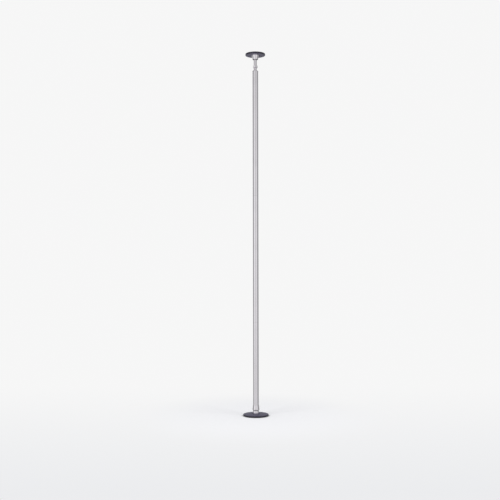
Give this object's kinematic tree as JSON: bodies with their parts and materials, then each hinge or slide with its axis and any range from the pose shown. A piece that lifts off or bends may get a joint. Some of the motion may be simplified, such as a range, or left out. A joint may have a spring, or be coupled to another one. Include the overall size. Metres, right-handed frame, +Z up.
{
  "type": "dance pole",
  "caption": "Free-spinning round steel pole held by pressure between floor and ceiling, with a screw jack, a domed floor plate and a smaller domed ceiling plate.",
  "frame": {"origin": "middle of the floor pad's underside, on the pole's axis, at floor level", "axes": "+Z up along the pole, -Y towards the front (the pictured side), +X to the right of the front"},
  "size_m": [0.199, 0.2, 2.85],
  "materials": {
    "chrome": "bright chrome plate",
    "black_paint": "glossy charcoal-black powder coat",
    "rubber": "matt black rubber",
    "machined_steel": "turned steel, lightly oiled",
    "bearing_steel": "ground and polished bearing steel",
    "cage_brass": "pressed brass cage with steel balls",
    "bronze": "sintered bronze",
    "aluminium": "machined aluminium",
    "black_steel": "black oxide steel",
    "nylon": "natural nylon"
  },
  "bodies": {
    "base": {"floor_pad": "rubber", "base_plate": "black_paint", "base_hub": "chrome", "base_spindle": "machined_steel", "hub_bolt": "black_steel", "thrust_race_lower": "bearing_steel", "foot_bearing_inner_ring": "bearing_steel", "spindle_retaining_ring": "black_steel"},
    "thrust_cage": {"thrust_ball_cage": "cage_brass"},
    "foot_cage": {"foot_bearing_ball_cage": "cage_brass"},
    "pole": {"thrust_race_upper": "bearing_steel", "bottom_skirt": "chrome", "bearing_housing": "machined_steel", "spindle_bush": "bronze", "foot_bearing_outer_ring": "bearing_steel", "foot_pin_back": "machined_steel", "foot_pin_front": "machined_steel", "lower_tube": "chrome", "middle_tube": "chrome", "upper_tube": "chrome", "lower_joint_half_front": "aluminium", "lower_joint_half_back": "aluminium", "lower_joint_screw_lower": "black_steel", "lower_joint_screw_upper": "black_steel", "upper_joint_half_front": "aluminium", "upper_joint_half_back": "aluminium", "upper_joint_screw_lower": "black_steel", "upper_joint_screw_upper": "black_steel", "jack_bush": "chrome", "bush_screw_right": "black_steel", "bush_screw_left": "black_steel"},
    "right_lock": {"lock_screw_right": "black_steel"},
    "left_lock": {"lock_screw_left": "black_steel"},
    "jack_carriage": {"rod_guide": "nylon"},
    "jack": {"jack_rod": "chrome", "guide_retaining_ring": "black_steel", "turning_nut": "chrome", "nut_pin": "machined_steel", "ceiling_bearing_inner_ring": "bearing_steel", "rod_retaining_ring": "black_steel"},
    "ceiling_cage": {"ceiling_bearing_ball_cage": "cage_brass"},
    "ceiling_head": {"ceiling_bearing_outer_ring": "bearing_steel", "ceiling_cup": "chrome", "ceiling_plate": "black_paint", "cup_screw_1": "black_steel", "cup_screw_2": "black_steel", "cup_screw_3": "black_steel", "ceiling_pad": "rubber"}
  },
  "joints": [
    {"name": "pole_spin", "type": "hinge", "parent": "base", "child": "pole", "pos_m": [0, 0, 0.052], "axis": [0, 0, 1], "continuous": true},
    {"name": "thrust_cage_roll", "type": "hinge", "parent": "base", "child": "thrust_cage", "pos_m": [0, 0, 0.0428], "axis": [0, 0, 1], "continuous": true},
    {"name": "foot_cage_roll", "type": "hinge", "parent": "base", "child": "foot_cage", "pos_m": [0, 0, 0.104], "axis": [0, 0, 1], "continuous": true},
    {"name": "right_lock_travel", "type": "slide", "parent": "pole", "child": "right_lock", "axis": [-1, 0, 0], "range_m": [0, 0.002]},
    {"name": "left_lock_travel", "type": "slide", "parent": "pole", "child": "left_lock", "axis": [1, 0, 0], "range_m": [0, 0.002]},
    {"name": "jack_height", "type": "slide", "parent": "pole", "child": "jack_carriage", "axis": [0, 0, 1], "range_m": [-0.0195, 0.08]},
    {"name": "jack_turn", "type": "hinge", "parent": "jack_carriage", "child": "jack", "pos_m": [0, 0, 2.7133], "axis": [0, 0, 1], "range_deg": [-2340.5, 9600.5]},
    {"name": "ceiling_swivel", "type": "hinge", "parent": "jack_carriage", "child": "ceiling_head", "pos_m": [0, 0, 2.8275], "axis": [0, 0, 1], "continuous": true},
    {"name": "ceiling_cage_roll", "type": "hinge", "parent": "ceiling_head", "child": "ceiling_cage", "pos_m": [0, 0, 2.8275], "axis": [0, 0, 1], "continuous": true}
  ],
  "couplings": [
    {"joint": "jack_turn", "follows": "jack_height", "rad_per_m": 2094.4},
    {"joint": "ceiling_swivel", "follows": "pole_spin", "ratio": -1},
    {"joint": "thrust_cage_roll", "follows": "pole_spin", "ratio": 0.5},
    {"joint": "foot_cage_roll", "follows": "pole_spin", "ratio": 0.589},
    {"joint": "ceiling_cage_roll", "follows": "pole_spin", "ratio": 0.404}
  ]
}
